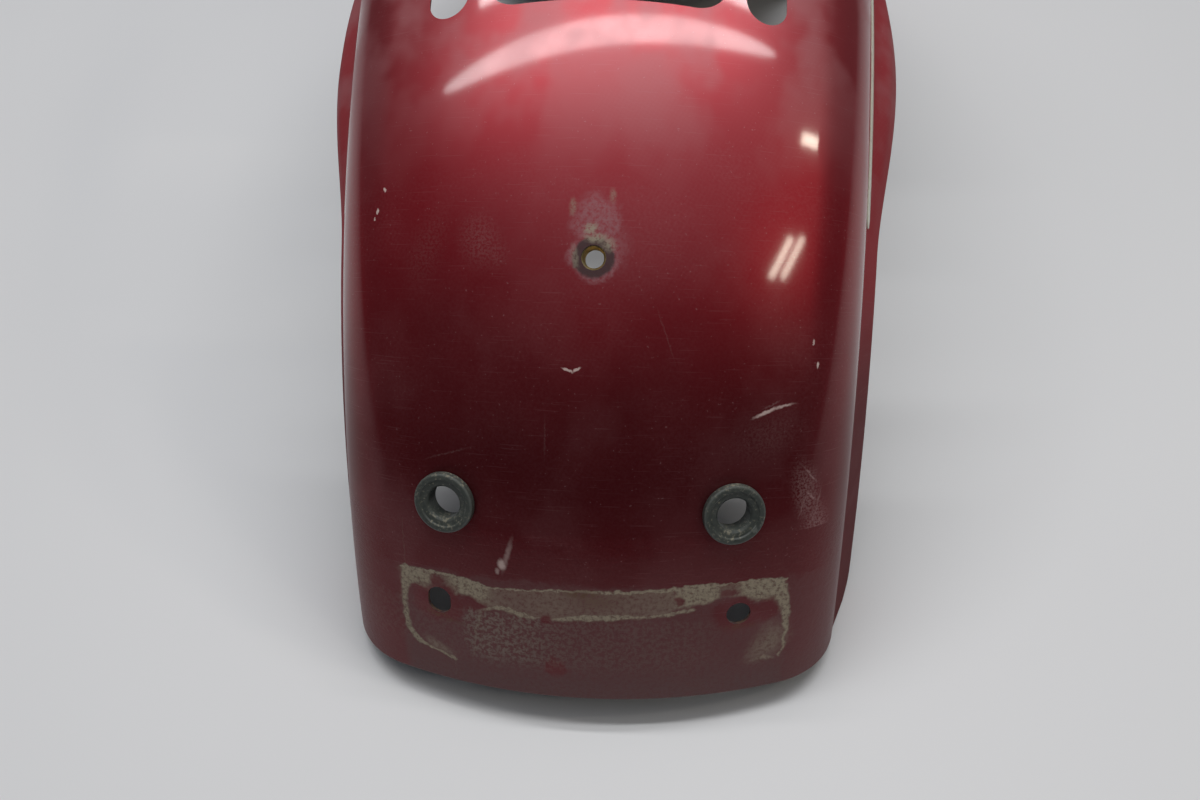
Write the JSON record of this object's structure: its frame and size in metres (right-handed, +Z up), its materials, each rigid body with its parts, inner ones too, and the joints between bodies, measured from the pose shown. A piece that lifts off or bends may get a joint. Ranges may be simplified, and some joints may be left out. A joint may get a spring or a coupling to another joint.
{
  "type": "motorcycle rear fender",
  "caption": "Arched steel rear fender with rounded shoulders, leaning skirts with side blisters, a seat opening, rubber grommets and welded nuts.",
  "frame": {"origin": "middle of the footprint, on the floor that the skirts' lower corners stand on", "axes": "+X to the right side, +Y forward (the trailing edge faces -Y), +Z up as it stands on the table"},
  "size_m": [0.2648, 0.686, 0.2808],
  "materials": {
    "red_lacquer": "gloss burgundy lacquer, dusty, scratched and muddy at the tail",
    "stripe_film": "thin pale grey-cream film",
    "grommet_rubber": "aged dark rubber with pale dust on its rim",
    "yellow_zinc": "yellow-passivated zinc, dull",
    "dark_primer": "dull dark primer, dusty"
  },
  "bodies": {
    "root": {"fender_shell": "red_lacquer", "pinstripe_left": "stripe_film", "pinstripe_right": "stripe_film", "grommet_left": "grommet_rubber", "grommet_right": "grommet_rubber", "seat_nut": "yellow_zinc", "seat_plate": "dark_primer", "strut_plate_left": "dark_primer", "strut_plate_right": "dark_primer", "strut_nut_left": "yellow_zinc", "strut_nut_right": "yellow_zinc", "wiring_clips": "dark_primer"}
  },
  "joints": []
}
